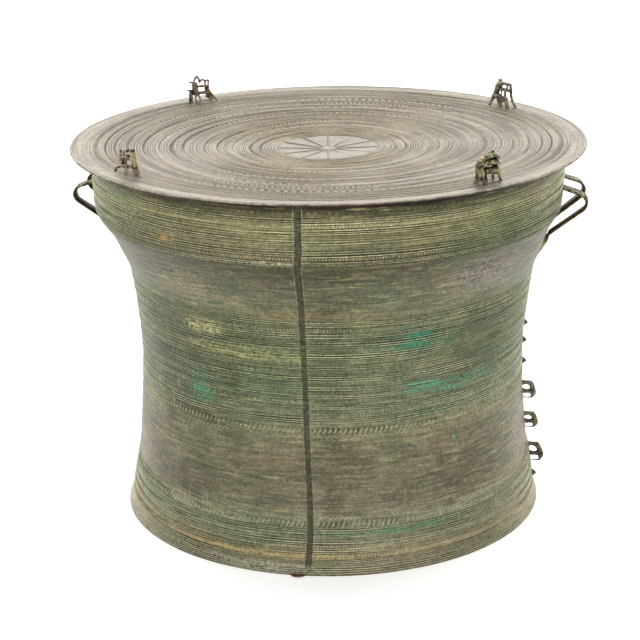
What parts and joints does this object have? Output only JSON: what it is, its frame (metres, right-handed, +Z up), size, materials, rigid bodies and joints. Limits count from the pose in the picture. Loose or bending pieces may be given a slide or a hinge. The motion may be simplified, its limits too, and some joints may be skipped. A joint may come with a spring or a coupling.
{
  "type": "bronze frog drum",
  "caption": "Waisted hollow bronze drum with a dished overhanging head, stacked frogs near its edge, strap handles and small animals down one side; open at the foot.",
  "frame": {"origin": "centre of the open foot, on the plane that the foot rim stands on", "axes": "+Z up along the drum's axis; -Y towards the front seam, +X towards the side with the animals"},
  "size_m": [0.6692, 0.66, 0.5244],
  "materials": {
    "patinated_bronze": "old cast bronze with an uneven green and brown patina, greyer and paler on the head"
  },
  "bodies": {
    "root": {"frog_drum": "patinated_bronze"}
  },
  "joints": []
}
